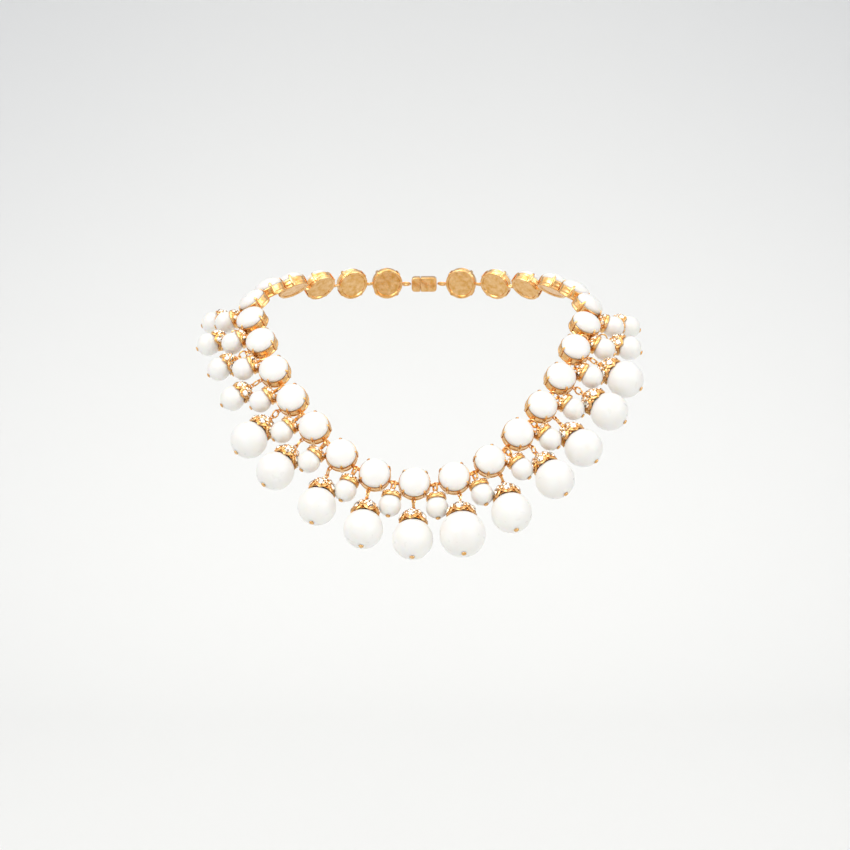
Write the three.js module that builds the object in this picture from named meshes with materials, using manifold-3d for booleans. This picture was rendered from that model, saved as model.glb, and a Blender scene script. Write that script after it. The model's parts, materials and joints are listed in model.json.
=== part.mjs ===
// A collar necklace: domed white stones in gold claw settings, linked side by side round the neck. A large
// bead hangs under each front and side setting, and a small one under each link between them, all of them
// under petal-shaped gold crown caps. Millimetres, +Z up, +X to the wearer's left, -Y forward.
// The origin is the middle of the opening that the neck goes through.
import * as THREE from 'three';
import { mergeVertices } from 'three/addons/utils/BufferGeometryUtils.js';
import Module from 'manifold-3d';

const wasm = await Module();
wasm.setup();

// Half of the loop, from the middle of the front to the middle of the back, at equal steps along it.
// lean is how steeply the settings lie there, in degrees: 90 hangs straight down, 0 lies flat and outward.
// hang is the same for the ground under the beads.
const HALF_LOOP = [
  { across: 0, back: -64, up: -45.5, lean: 71, hang: 78 },
  { across: 26.5, back: -62, up: -38.5, lean: 67, hang: 74 },
  { across: 46.5, back: -54, up: -21, lean: 59, hang: 67 },
  { across: 61.5, back: -41, up: -1.5, lean: 47, hang: 57 },
  { across: 72, back: -25, up: 18.5, lean: 33, hang: 43 },
  { across: 77.5, back: -2, up: 33.5, lean: 32, hang: 33 },
  { across: 68, back: 22, up: 44, lean: 20, hang: 20 },
  { across: 51, back: 44, up: 46.5, lean: 42, hang: 42 },
  { across: 27.5, back: 58.5, up: 48, lean: 64, hang: 64 },
  { across: 0, back: 63.5, up: 48, lean: 72, hang: 72 },
];
const PITCH = 18; // from one setting to the next
const PLACES = 28; // places round the loop: 27 settings and the clasp
const FIRST_PLACE = 15.8; // how far setting 0 lies past the middle of the front

// Settings are numbered from 0, up towards +X and down towards -X.
const LEFT_END = -10; // the last setting on the -X side with a node of its own
const RIGHT_END = 8; // the same on the +X side
const CLASP_PLACE = 13;

// The large drops: the setting each hangs from, its bead, and how far it swings towards the next setting.
const DROPS = [
  { setting: -9, bead: 10.5, swing: 3 },
  { setting: -8, bead: 10.5, swing: 3 },
  { setting: -7, bead: 10.5, swing: 6 },
  { setting: -6, bead: 11, swing: 5 },
  { setting: -5, bead: 16.5, swing: 12.5 },
  { setting: -4, bead: 17, swing: 11 },
  { setting: -3, bead: 17, swing: 20 },
  { setting: -2, bead: 17.5, swing: 11 },
  { setting: -1, bead: 18, swing: 1 },
  { setting: 0, bead: 20.4, swing: -10 },
  { setting: 1, bead: 18, swing: -18 },
  { setting: 2, bead: 17.5, swing: -13.5 },
  { setting: 3, bead: 17, swing: -13 },
  { setting: 4, bead: 17, swing: -8 },
  { setting: 5, bead: 16.5, swing: -10 },
  { setting: 6, bead: 11, swing: 0 },
  { setting: 7, bead: 10.5, swing: 0 },
];
const LONG_REACH = 26.2; // from a setting's middle to the middle of a bead of 16 mm or more
const SHORT_REACH = 22.5; // the same for the beads of about 11 mm
const LARGE_BEAD = 16;
const SKIN = 4; // what the necklace lies on is this far under a setting's middle
const BEAD_REST = 0.5; // a bead's clearance from it

const SMALL_BEAD = 10;
const SMALL_REACH = 12.3; // from the line of the settings to a small bead's middle
const FRONT_PLACES = [-2, -1, 0]; // the small drops in the middle of the front hang closer
const FRONT_REACH = 11.8;
const SMALL_SWING = 0.25; // of its two neighbours' swings added up

const GAP = 0.3; // between a stone, bead or clasp and the metal round it
const SIDES = 12; // of a round piece
const FIRST_CORNER = THREE.MathUtils.degToRad(15); // puts a corner of a setting on each diagonal

const SETTING = { rim: 7.2, inner: 6.85, base: 7.1, floor: -3.6, floorTop: -2.8, top: 0.9 };
const CLAW = { rise: 2, inward: 0.1 };
const STONE = { radius: SETTING.inner - GAP, base: SETTING.floorTop + GAP, girdle: 0.7, dome: 3.5, top: 4.9 };
const EYE = { radius: 1.4, wire: 0.35, out: 8.25, height: -2.4 };
const LINK = { half: 1.5, wire: 0.55, wall: 6.88, bite: 0.2 };
const LINK_TILT = THREE.MathUtils.degToRad(55); // brings a link's lower edge forward
const RING = { radius: 1.7, wire: 0.35, round: 6, section: 4 };
const PIN = { radius: 0.5, bore: 0.85, head: 1.2, headDepth: 0.6, sides: 6 };
const CAP = { petals: 6, top: 2.2, stand: 1, seatGap: 0.4, notch: 0.8, rimBase: 2.8, rimShare: 0.4 };
const CAP_SIDE = [[0.89, 0.35], [0.72, 0.65]]; // its side: shares of its rim's radius and of its height
const LARGE_CAP_RISE = 5.6; // a crown cap's height over its bead
const SHORT_CAP_RISE = 4.2;
const SMALL_CAP = { neck: 1, rim: 4.45, stand: 0.6 };
const CLASP = { length: 12, width: 7, depth: 4, corner: 1.6 };

const GOLD = { color: '#d9a648', metalness: 1, roughness: 0.28 };
const WHITE = { color: '#f8f5ee', metalness: 0, roughness: 0.32 };

const wrap = (index, count) => ((index % count) + count) % count;
const LOOP = [
  ...HALF_LOOP,
  ...HALF_LOOP.slice(1, -1).reverse().map((row) => ({ ...row, across: -row.across })),
];
const LOOP_STEP = (PITCH * PLACES) / LOOP.length;

// One column of the loop's table at a distance along it, on a smooth closed curve through its rows.
function loopValue(column, distance) {
  const along = distance / LOOP_STEP;
  const row = Math.floor(along);
  const t = along - row;
  const [a, b, c, d] = [-1, 0, 1, 2].map((i) => LOOP[wrap(row + i, LOOP.length)][column]);
  return 0.5 * (2 * b + (c - a) * t + (2 * a - 5 * b + 4 * c - d) * t * t + (3 * b - a - 3 * c + d) * t ** 3);
}

function loopPoint(distance) {
  return new THREE.Vector3(...['across', 'back', 'up'].map((column) => loopValue(column, distance)));
}

// The collar's own axes at a place: X along it, Y up it towards the neck, Z out from what it lies on.
// Its slope is one column of the table.
function collarFrame(place, slope = 'lean') {
  const distance = FIRST_PLACE + PITCH * place;
  const along = loopPoint(distance + 0.5).sub(loopPoint(distance - 0.5)).normalize();
  const outward = along.clone().cross(new THREE.Vector3(0, 0, 1)).normalize();
  const upward = outward.clone().cross(along);
  const lean = THREE.MathUtils.degToRad(loopValue(slope, distance));
  const inward = upward.clone().multiplyScalar(Math.sin(lean)).addScaledVector(outward, -Math.cos(lean));
  const face = outward.multiplyScalar(Math.sin(lean)).addScaledVector(upward, Math.cos(lean));
  return new THREE.Matrix4().makeBasis(along, inward, face).setPosition(loopPoint(distance));
}

const inFrame = (frame, x, y, z) => new THREE.Vector3(x, y, z).applyMatrix4(frame);
const axisOf = (frame, index) => new THREE.Vector3().setFromMatrixColumn(frame, index);

// A frame at a point, with Z towards a second point and X as near as it can be to a third direction.
function frameTowards(point, target, side) {
  const z = target.clone().sub(point).normalize();
  const x = side.clone().addScaledVector(z, -side.dot(z)).normalize();
  return new THREE.Matrix4().makeBasis(x, z.clone().cross(x), z).setPosition(point);
}

// --- solids ---------------------------------------------------------------------------------------------

// Shared vertices merged and flat triangles dropped, so that the surface is closed.
function closed(geometry) {
  const bare = geometry.clone();
  bare.deleteAttribute('normal');
  bare.deleteAttribute('uv');
  const merged = mergeVertices(bare, 1e-4);
  const corners = [];
  for (let i = 0; i < merged.index.count; i += 3) {
    const [a, b, c] = [0, 1, 2].map((j) => merged.index.getX(i + j));
    if (a !== b && b !== c && c !== a) corners.push(a, b, c);
  }
  merged.setIndex(corners);
  return merged;
}

function toManifold(geometry) {
  const { index, attributes } = closed(geometry);
  const triVerts = Uint32Array.from(index.array);
  const vertProperties = Float32Array.from(attributes.position.array);
  return new wasm.Manifold(new wasm.Mesh({ numProp: 3, vertProperties, triVerts }));
}

function joined(geometries) {
  const whole = geometries.map(toManifold).reduce((sum, piece) => sum.add(piece));
  const { vertProperties, triVerts } = whole.getMesh();
  const geometry = new THREE.BufferGeometry();
  geometry.setAttribute('position', new THREE.BufferAttribute(vertProperties, 3));
  geometry.setIndex(new THREE.BufferAttribute(triVerts, 1));
  return geometry;
}

// A profile of [radius, height] turned round Z.
function turned(profile, sides = SIDES, firstCorner = 0) {
  const points = profile.map(([radius, height]) => new THREE.Vector2(radius, height));
  return new THREE.LatheGeometry(points, sides, firstCorner).rotateX(Math.PI / 2);
}

function moveEach(geometry, move) {
  const position = geometry.attributes.position;
  const vertex = new THREE.Vector3();
  for (let i = 0; i < position.count; i += 1) {
    move(vertex.fromBufferAttribute(position, i));
    position.setXYZ(i, ...vertex.toArray());
  }
  return geometry;
}

// Points on a circle round the origin of a profile, from one angle above the equator to another.
function arc(radius, from, to, rows) {
  return Array.from({ length: rows + 1 }, (_, i) => {
    const angle = from + ((to - from) * i) / rows;
    return [radius * Math.cos(angle), radius * Math.sin(angle)];
  });
}

const ring = (radius, wire) => new THREE.TorusGeometry(radius, wire, RING.section, RING.round);

// A cup whose rim rises into a claw on each diagonal, over what its profile has inside the rim.
function clawedCup(inside) {
  const { rim, inner, base, floor, top } = SETTING;
  const profile = [[0, floor], [base, floor], [rim, top], [inner, top], ...inside];
  return moveEach(turned(profile, SIDES, FIRST_CORNER), (v) => {
    const diagonal = Math.abs(Math.abs(v.x) - Math.abs(v.y)) < 1e-3;
    if (Math.abs(v.z - top) < 1e-3 && diagonal) {
      const share = 1 - CLAW.inward / Math.hypot(v.x, v.y);
      v.multiply(new THREE.Vector3(share, share, 1));
      v.z += CLAW.rise;
    }
  });
}

const settingCup = () => clawedCup([[SETTING.inner, SETTING.floorTop], [0, SETTING.floorTop]]);
const filledCup = () => clawedCup([[0.78 * STONE.radius, STONE.dome], [0, STONE.top]]);

function stone() {
  const { radius, base, girdle, dome, top } = STONE;
  const profile = [[0, base], [radius, base], [radius, girdle], [0.78 * radius, dome], [0, top]];
  return turned(profile, SIDES, FIRST_CORNER);
}

// A bead with its bore along Z.
function boredBead(radius) {
  const side = Math.acos(PIN.bore / radius);
  const profile = arc(radius, -side, side, 6);
  return turned([...profile, profile[0]]);
}

// A crown cap on a bead: petals that stand off the bead, and notches between them.
function crownCap(radius, rise) {
  const rim = CAP.rimBase + CAP.rimShare * radius;
  const outer = radius + CAP.stand;
  const edge = Math.asin(rim / outer);
  const tip = outer * Math.cos(edge);
  const top = radius + rise;
  const seat = arc(radius + CAP.seatGap, Math.PI / 2, Math.PI / 2 - edge, 2);
  const side = CAP_SIDE.map(([wide, high]) => [wide * rim, tip + high * (top - tip)]);
  const profile = [...seat, [rim, tip], ...side, [CAP.top, top], [0, top]];
  return moveEach(turned(profile), (v) => {
    const around = Math.atan2(v.x, -v.y) / (Math.PI / CAP.petals);
    const notched = Math.round(around) % 2 !== 0;
    if (notched && Math.hypot(v.x, v.y) > 0.7 * rim) {
      const reach = v.length();
      v.multiply(new THREE.Vector3(CAP.notch, CAP.notch, 1));
      v.z = Math.sqrt(reach ** 2 - v.x ** 2 - v.y ** 2);
    }
  });
}

function rod(radius, from, to, sides = PIN.sides) {
  return turned([[0, from], [radius, from], [radius, to], [0, to]], sides);
}

// --- the collar -----------------------------------------------------------------------------------------

const isClasp = (place) => wrap(place, PLACES) === CLASP_PLACE;
const swingOf = (setting) => DROPS.find((drop) => drop.setting === setting)?.swing;

// A setting's cup, with the eye that its drop hangs from. Behind the neck the stone is one with its cup.
function settingAt(place) {
  const parts = [place < LEFT_END || place > RIGHT_END ? filledCup() : settingCup()];
  if (swingOf(place) !== undefined) parts.push(ring(EYE.radius, EYE.wire).translate(0, -EYE.out, EYE.height));
  return parts.map((part) => part.applyMatrix4(collarFrame(place)));
}

// Where a link starts or ends beside the setting or clasp at a place: side is 1 towards the next place.
// A soldered end bites into the wall, and a free one stops short of it.
function linkEnd(place, side, free) {
  const wall = isClasp(place) ? CLASP.length / 2 : LINK.wall;
  const reach = wall + LINK.wire + (free || isClasp(place) ? GAP : -LINK.bite);
  return inFrame(collarFrame(place), side * reach, 0, EYE.height);
}

// The middle of the ring between a place and the next one, in a frame with X along it and Z through its hole.
function linkFrame(place, freeEnd = false) {
  const start = linkEnd(place, 1, false);
  const end = linkEnd(place + 1, -1, freeEnd);
  const along = end.clone().sub(start).normalize();
  const face = axisOf(collarFrame(place + 0.5), 2);
  face.addScaledVector(along, -face.dot(along)).normalize();
  face.applyAxisAngle(along, -LINK_TILT);
  const frame = new THREE.Matrix4().makeBasis(along, face.clone().cross(along), face);
  frame.setPosition(start.clone().add(end).multiplyScalar(0.5));
  return { frame, half: start.distanceTo(end) / 2 };
}

function linkAt(place, freeEnd) {
  const { frame, half } = linkFrame(place, freeEnd);
  const link = moveEach(ring(LINK.half, LINK.wire), (v) => {
    v.x += Math.sign(v.x) * (half - LINK.half);
  });
  return link.applyMatrix4(frame);
}

// The small drop that hangs from the link after a setting.
function smallDropAt(setting) {
  const collar = collarFrame(setting + 0.5, 'hang');
  const swing = THREE.MathUtils.degToRad(SMALL_SWING * (swingOf(setting) + swingOf(setting + 1)));
  const radius = SMALL_BEAD / 2;
  const fall = FRONT_PLACES.includes(setting) ? FRONT_REACH : SMALL_REACH;
  const bead = inFrame(collar, fall * Math.sin(swing), -fall * Math.cos(swing), radius + GAP - SKIN);
  const hook = inFrame(linkFrame(setting).frame, 0, -LINK.half, 0);
  const frame = frameTowards(bead, hook, axisOf(collar, 0));
  const reach = bead.distanceTo(hook);
  const { neck, rim, stand } = SMALL_CAP;
  const tip = Math.sqrt((radius + stand) ** 2 - rim ** 2);
  const top = reach - 2 * RING.radius + RING.wire / 2;
  const cap = [[rim, tip], [0.7 * rim, (top + tip) / 2 + 0.5], [neck, top], [0, top]];
  const body = turned([...arc(radius, -Math.PI / 2, Math.asin(tip / radius), 4), ...cap], 8);
  const upper = ring(RING.radius, RING.wire).rotateY(Math.PI / 2).translate(0, 0, reach - RING.radius);
  return [body, upper].map((part) => part.applyMatrix4(frame));
}

// A run of settings as one soldered solid. Its last link stops a gap short of the next run.
function collarRun(first, last, startsAtClasp = false) {
  const parts = [];
  if (startsAtClasp) parts.push(linkAt(first - 1));
  for (let place = first; place <= last; place += 1) {
    parts.push(...settingAt(place));
    parts.push(linkAt(place, place === last));
    if (swingOf(place) !== undefined && swingOf(place + 1) !== undefined) parts.push(...smallDropAt(place));
  }
  return parts;
}

// --- the large drops ------------------------------------------------------------------------------------

function dropFrame({ setting, bead, swing }) {
  const collar = collarFrame(setting, 'hang');
  const angle = THREE.MathUtils.degToRad(swing);
  const reach = (bead < LARGE_BEAD ? SHORT_REACH : LONG_REACH) + (bead > 20 ? 0.8 : 0);
  const height = bead / 2 + BEAD_REST - SKIN;
  const middle = inFrame(collar, reach * Math.sin(angle), -reach * Math.cos(angle), height);
  const hook = inFrame(collarFrame(setting), 0, -EYE.out, EYE.height);
  return { frame: frameTowards(middle, hook, axisOf(collar, 0)), reach: middle.distanceTo(hook) };
}

// The crown cap, its head pin through the bead and its ring, in the frame of the bead.
function dropMetal({ bead }, reach) {
  const radius = bead / 2;
  const rise = bead < LARGE_BEAD ? SHORT_CAP_RISE : LARGE_CAP_RISE;
  const headTop = -radius - GAP;
  return joined([
    crownCap(radius, rise),
    rod(PIN.radius, headTop - PIN.headDepth / 2, reach - 2 * RING.radius + RING.wire),
    rod(PIN.head, headTop - PIN.headDepth, headTop, 8),
    ring(RING.radius, RING.wire).rotateY(Math.PI / 2).translate(0, 0, reach - RING.radius),
  ]);
}

// --- the necklace ---------------------------------------------------------------------------------------

function addMesh(parent, name, geometry, material) {
  const mesh = new THREE.Mesh(closed(geometry), material);
  mesh.name = name;
  parent.add(mesh);
  return mesh;
}

function placeGroup(parent, frame) {
  const group = new THREE.Group();
  frame.decompose(group.position, group.quaternion, group.scale);
  parent.add(group);
  return group;
}

// Numbers every piece from the -X end, so that names sort in order.
const number = (setting) => String(setting - LEFT_END + 1).padStart(2, '0');

const gold = new THREE.MeshStandardMaterial(GOLD);
const white = new THREE.MeshStandardMaterial(WHITE);
const necklace = new THREE.Group();

for (let setting = LEFT_END; setting <= RIGHT_END; setting += 1) {
  addMesh(placeGroup(necklace, collarFrame(setting)), `cabochon_${number(setting)}`, stone(), white);
}

for (const drop of DROPS) {
  const { frame, reach } = dropFrame(drop);
  const group = placeGroup(necklace, frame);
  addMesh(group, `drop_bead_${number(drop.setting)}`, boredBead(drop.bead / 2), white);
  addMesh(group, `drop_cap_${number(drop.setting)}`, dropMetal(drop, reach), gold);
}

addMesh(necklace, 'collar_left', joined(collarRun(LEFT_END, -1)), gold);
addMesh(necklace, 'collar_right', joined(collarRun(0, RIGHT_END)), gold);

addMesh(necklace, 'collar_back_left', joined(collarRun(CLASP_PLACE + 1 - PLACES, LEFT_END - 1, true)), gold);
addMesh(necklace, 'collar_back_right', joined(collarRun(RIGHT_END + 1, CLASP_PLACE - 1)), gold);

function claspBody() {
  const { length, width, depth, corner } = CLASP;
  const [x, y] = [length / 2, width / 2];
  const outline = new THREE.Shape();
  outline.moveTo(x - corner, -y).absarc(x - corner, -y + corner, corner, -Math.PI / 2, 0);
  outline.absarc(x - corner, y - corner, corner, 0, Math.PI / 2);
  outline.absarc(-x + corner, y - corner, corner, Math.PI / 2, Math.PI);
  outline.absarc(-x + corner, -y + corner, corner, Math.PI, 1.5 * Math.PI);
  return new THREE.ExtrudeGeometry(outline, { depth, bevelEnabled: false, curveSegments: 3 });
}
const clasp = claspBody().translate(0, 0, EYE.height - CLASP.depth / 2);
addMesh(placeGroup(necklace, collarFrame(CLASP_PLACE)), 'clasp', clasp, gold);

export default necklace;
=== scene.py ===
# %% [markdown]
# # A collar necklace of white domed stones and bead drops
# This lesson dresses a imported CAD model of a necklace. The CAD gives every piece its place and size. Here
# each piece gets the shape and finish that the eye expects: rounded edges, crown caps with cut crystals,
# plated metal and opaque white resin. Everything is in the frame of the CAD, whose origin is the middle of
# the opening that the neck goes through. Shapes are worked out in millimetres, and become metres in a mesh.

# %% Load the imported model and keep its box
import json
import math

import bmesh
import bpy
import numpy as np
from mathutils import Matrix, Vector

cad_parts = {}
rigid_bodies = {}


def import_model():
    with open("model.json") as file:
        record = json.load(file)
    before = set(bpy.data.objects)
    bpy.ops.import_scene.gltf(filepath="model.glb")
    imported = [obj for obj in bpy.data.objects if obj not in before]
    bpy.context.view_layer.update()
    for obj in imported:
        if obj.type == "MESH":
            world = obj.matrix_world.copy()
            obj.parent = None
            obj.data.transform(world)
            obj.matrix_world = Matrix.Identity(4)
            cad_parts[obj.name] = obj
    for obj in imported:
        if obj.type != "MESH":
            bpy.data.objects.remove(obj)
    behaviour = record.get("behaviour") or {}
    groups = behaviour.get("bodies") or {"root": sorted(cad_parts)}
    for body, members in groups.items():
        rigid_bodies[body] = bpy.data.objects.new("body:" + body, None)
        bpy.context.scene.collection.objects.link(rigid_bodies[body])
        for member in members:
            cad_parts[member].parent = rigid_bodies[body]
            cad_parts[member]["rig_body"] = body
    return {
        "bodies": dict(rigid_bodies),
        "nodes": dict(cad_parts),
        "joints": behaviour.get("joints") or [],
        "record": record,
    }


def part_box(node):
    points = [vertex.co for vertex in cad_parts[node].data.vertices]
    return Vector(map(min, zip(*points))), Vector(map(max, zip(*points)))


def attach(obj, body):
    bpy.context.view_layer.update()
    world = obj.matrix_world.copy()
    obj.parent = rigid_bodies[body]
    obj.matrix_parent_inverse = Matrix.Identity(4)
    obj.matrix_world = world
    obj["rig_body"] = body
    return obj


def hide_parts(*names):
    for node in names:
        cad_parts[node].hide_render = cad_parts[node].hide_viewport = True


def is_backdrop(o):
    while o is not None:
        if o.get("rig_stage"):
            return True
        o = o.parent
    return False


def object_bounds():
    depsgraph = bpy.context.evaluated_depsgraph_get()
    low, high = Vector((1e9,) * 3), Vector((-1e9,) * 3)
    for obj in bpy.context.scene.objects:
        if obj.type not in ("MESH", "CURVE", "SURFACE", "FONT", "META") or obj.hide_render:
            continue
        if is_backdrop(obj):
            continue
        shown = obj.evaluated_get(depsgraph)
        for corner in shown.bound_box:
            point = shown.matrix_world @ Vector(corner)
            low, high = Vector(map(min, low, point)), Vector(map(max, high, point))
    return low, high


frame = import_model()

CAD_BOX = [list(corner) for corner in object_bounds()]
print(len(frame["nodes"]), "CAD nodes in a box of",
      [round(1000 * (high - low)) for low, high in zip(*CAD_BOX)], "mm")

# %% [markdown]
# ## The line of the collar
# The settings sit at equal steps along one closed curve. The pieces must land exactly on their CAD nodes, so
# the same short table and smooth formula are used here. Each row is a station: across, back and up in
# millimetres, and then two slopes in degrees, of the settings and of the ground that the beads lie on. A
# slope of 90 hangs straight down, and one of 0 lies flat. The settings are numbered from 0, next to the
# middle of the front, and up towards the wearer's left.

# %% The loop's table and the frame at any place on it
MM = 0.001
HALF_LOOP = [
    # across, back, up, lean, hang
    (0, -64, -45.5, 71, 78),
    (26.5, -62, -38.5, 67, 74),
    (46.5, -54, -21, 59, 67),
    (61.5, -41, -1.5, 47, 57),
    (72, -25, 18.5, 33, 43),
    (77.5, -2, 33.5, 32, 33),
    (68, 22, 44, 20, 20),
    (51, 44, 46.5, 42, 42),
    (27.5, 58.5, 48, 64, 64),
    (0, 63.5, 48, 72, 72),
]
LOOP = HALF_LOOP + [(-across, *rest) for across, *rest in HALF_LOOP[-2:0:-1]]
PITCH = 18.0  # from one setting to the next
PLACES = 28  # 27 settings and the clasp
FIRST_PLACE = 15.8  # how far setting 0 lies past the middle of the front
STATION_STEP = PITCH * PLACES / len(LOOP)


def loop_row(distance):
    """The table's five columns at a distance along the loop, on a smooth closed curve."""
    row, t = divmod(distance / STATION_STEP, 1.0)
    a, b, c, d = (np.array(LOOP[(int(row) + i) % len(LOOP)], float) for i in (-1, 0, 1, 2))
    curve = (2 * a - 5 * b + 4 * c - d) * t**2 + (3 * b - a - 3 * c + d) * t**3
    return 0.5 * (2 * b + (c - a) * t + curve)


def axes(x, y, z, origin):
    """A matrix from three axes and an origin."""
    return Matrix.Translation(origin) @ Matrix([x, y, z]).transposed().to_4x4()


def collar_frame(place, under_beads=False):
    """X runs along the collar, Y up it towards the neck, and Z out of its face or of the beads' ground."""
    distance = FIRST_PLACE + PITCH * place
    along = Vector(loop_row(distance + 0.5)[:3] - loop_row(distance - 0.5)[:3]).normalized()
    outward = along.cross(Vector((0, 0, 1))).normalized()
    upward = outward.cross(along)
    *point, lean, hang = loop_row(distance)
    slope = math.radians(hang if under_beads else lean)
    sine, cosine = math.sin(slope), math.cos(slope)
    return axes(along, upward * sine - outward * cosine, outward * sine + upward * cosine, Vector(point))


def frame_towards(point, target, side):
    """A frame at a point with Z towards a target and X as near as it can be to a side."""
    z = (target - point).normalized()
    x = (side - z * side.dot(z)).normalized()
    return axes(x, z.cross(x), z, point)


LEFT_END, RIGHT_END = -10, 8  # the last settings whose stones are pieces of their own
CLASP_PLACE = 13


def number(setting):
    """A setting's number in the names of the CAD nodes."""
    return f"{setting - LEFT_END + 1:02d}"


print("a loop of", PITCH * PLACES, "mm with", PLACES, "places")

# %% [markdown]
# ## The drops
# A large bead hangs under each front and side setting, and a small one under each link between them. The
# front beads are the largest. Each swings a little sideways, as it came to rest. The three small drops in the
# middle of the front hang a little closer to the links than the others do.

# %% Where every drop hangs
DROPS = {
    # setting: (bead, swing)
    -9: (10.5, 3), -8: (10.5, 3), -7: (10.5, 6), -6: (11, 5), -5: (16.5, 12.5), -4: (17, 11),
    -3: (17, 20), -2: (17.5, 11), -1: (18, 1), 0: (20.4, -10), 1: (18, -18), 2: (17.5, -13.5),
    3: (17, -13), 4: (17, -8), 5: (16.5, -10), 6: (11, 0), 7: (10.5, 0),
}
LARGE_BEAD, LARGEST_BEAD, SMALL_BEAD = 16, 20, 10.0  # large ones are from 16 mm, and one is past 20 mm
LONG_FALL, SHORT_FALL, LARGEST_EXTRA = 26.2, 22.5, 0.8  # from a setting down to a bead, by the bead's size
SKIN = 4.0  # the ground that the beads lie on is this far under the settings' middles
BEAD_REST, SMALL_REST = 0.5, 0.3  # the beads' clearance from it
RING = 1.7  # the radius of the ring that holds a large drop
EYE_OUT, EYE_HEIGHT = 8.25, -2.4  # where that ring hooks on, in the setting's frame
LINK_HALF, LINK_WIRE = 1.5, 0.55  # the radius and the half thickness of a link's wire oval
LINK_REACH, CLASP_REACH = 7.23, 6.85  # from the middle of a setting, or of the clasp, to its links
LINK_TILT = 55
SMALL_FALL, FRONT_FALL = 12.3, 11.8  # from the line of the settings down to a small bead
FRONT_PLACES = (-2, -1, 0)
SMALL_SWING = 0.5  # of the mean swing of the large drops beside it


def drop_frame(setting):
    """The frame of a large bead, with Z up its pin, and the distance from it to the setting's eye."""
    bead, swing = DROPS[setting]
    ground, angle = collar_frame(setting, True), math.radians(swing)
    fall = (SHORT_FALL if bead < LARGE_BEAD else LONG_FALL) + (LARGEST_EXTRA if bead > LARGEST_BEAD else 0)
    middle = ground @ Vector((fall * math.sin(angle), -fall * math.cos(angle), bead / 2 + BEAD_REST - SKIN))
    hook = collar_frame(setting) @ Vector((0, -EYE_OUT, EYE_HEIGHT))
    return frame_towards(middle, hook, ground.col[0].xyz), (hook - middle).length


def link_frame(place):
    """The middle of the link after a place, with X along it, and half its length. Its lower edge is tilted
    forward, so that from the front it is seen nearly on edge."""
    ends = []
    for beside, side in ((place, 1), (place + 1, -1)):
        reach = CLASP_REACH if beside % PLACES == CLASP_PLACE else LINK_REACH
        ends.append(collar_frame(beside) @ Vector((side * reach, 0, EYE_HEIGHT)))
    along = (ends[1] - ends[0]).normalized()
    face = collar_frame(place + 0.5).col[2].xyz
    face = (face - along * face.dot(along)).normalized()
    face = Matrix.Rotation(-math.radians(LINK_TILT), 3, along) @ face
    return axes(along, face.cross(along), face, (ends[0] + ends[1]) / 2), (ends[1] - ends[0]).length / 2


def small_drop_frame(place):
    """The frame of the small bead under the link after a place, and its distance from the link."""
    ground = collar_frame(place + 0.5, True)
    angle = math.radians(SMALL_SWING * (DROPS[place][1] + DROPS[place + 1][1]) / 2)
    fall = FRONT_FALL if place in FRONT_PLACES else SMALL_FALL
    rise = SMALL_BEAD / 2 + SMALL_REST - SKIN
    middle = ground @ Vector((fall * math.sin(angle), -fall * math.cos(angle), rise))
    hook = link_frame(place)[0] @ Vector((0, -LINK_HALF, 0))
    return frame_towards(middle, hook, ground.col[0].xyz), (hook - middle).length


misses = []
for setting in DROPS:
    low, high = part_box("drop_bead_" + number(setting))
    misses.append(((low + high) / 2 / MM - drop_frame(setting)[0].translation).length)
print(len(DROPS), "large drops, within", round(max(misses), 3), "mm of their CAD beads")

# %% [markdown]
# ## Helpers for meshes
# Most parts of the necklace are turned or made of wire. A turned part is a profile of radii and heights taken
# round an axis, and a wire is a small section carried along a path. Both are built from vertices and faces,
# which keeps the rows even, and then get outward normals.

# %% Turned parts, wires and finished masters
def polar(radius, turn):
    return radius * math.cos(turn), radius * math.sin(turn)


def turned(profile, sides=48):
    """Vertices and faces of a profile of (radius, height), from the bottom up, turned round Z."""
    verts, rows = [], []
    for radius, height in profile:
        if rows and (radius, height) == tuple(profile[0]):
            rows.append(rows[0])
        elif radius == 0:
            rows.append([len(verts)] * sides)
            verts.append((0, 0, height))
        else:
            rows.append([len(verts) + i for i in range(sides)])
            verts += [(*polar(radius, math.tau * i / sides), height) for i in range(sides)]
    faces = []
    for low, high in zip(rows, rows[1:]):
        for i in range(sides):
            j = (i + 1) % sides
            faces.append(tuple(dict.fromkeys((low[i], low[j], high[j], high[i]))))
    return verts, faces


def skin(rows, sides, closed=False):
    """The faces between rows of so many vertices each, with a lid at each end unless the rows close."""
    faces = []
    for row in range(rows if closed else rows - 1):
        low, high = row * sides, (row + 1) % rows * sides
        for i in range(sides):
            j = (i + 1) % sides
            faces.append((low + i, low + j, high + j, high + i))
    if not closed:
        faces += [tuple(range(sides)), tuple(range((rows - 1) * sides, rows * sides))]
    return faces


def wire(path, across, width, depth=None, sides=8, closed=False):
    """A round or flattened wire along points. across is the direction of its width, one or one a point;
    width and depth are half sizes, one or one a point."""
    path = [Vector(p) for p in path]
    count = len(path)
    across = [Vector(a) for a in across] if isinstance(across, list) else [Vector(across)] * count
    width = width if isinstance(width, list) else [width] * count
    depth = width if depth is None else depth if isinstance(depth, list) else [depth] * count
    verts = []
    for i, point in enumerate(path):
        beside = [(i + d) % count if closed else min(max(i + d, 0), count - 1) for d in (-1, 1)]
        before, after = (path[j] for j in beside)
        up = (after - before).normalized().cross(across[i]).normalized()
        for j in range(sides):
            turn = math.tau * j / sides
            verts.append(point + across[i] * width[i] * math.cos(turn) + up * depth[i] * math.sin(turn))
    return verts, skin(count, sides, closed)


def ring(radius, thick, half_length=None, rounds=28):
    """A ring of wire in the XY plane, stretched along X to a half length."""
    stretch = 0 if half_length is None else half_length - radius
    path = [polar(radius, math.tau * (i + 0.5) / rounds) for i in range(rounds)]
    path = [(x + math.copysign(stretch, x), y, 0) for x, y in path]
    return wire(path, (0, 0, 1), thick, closed=True)


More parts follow.
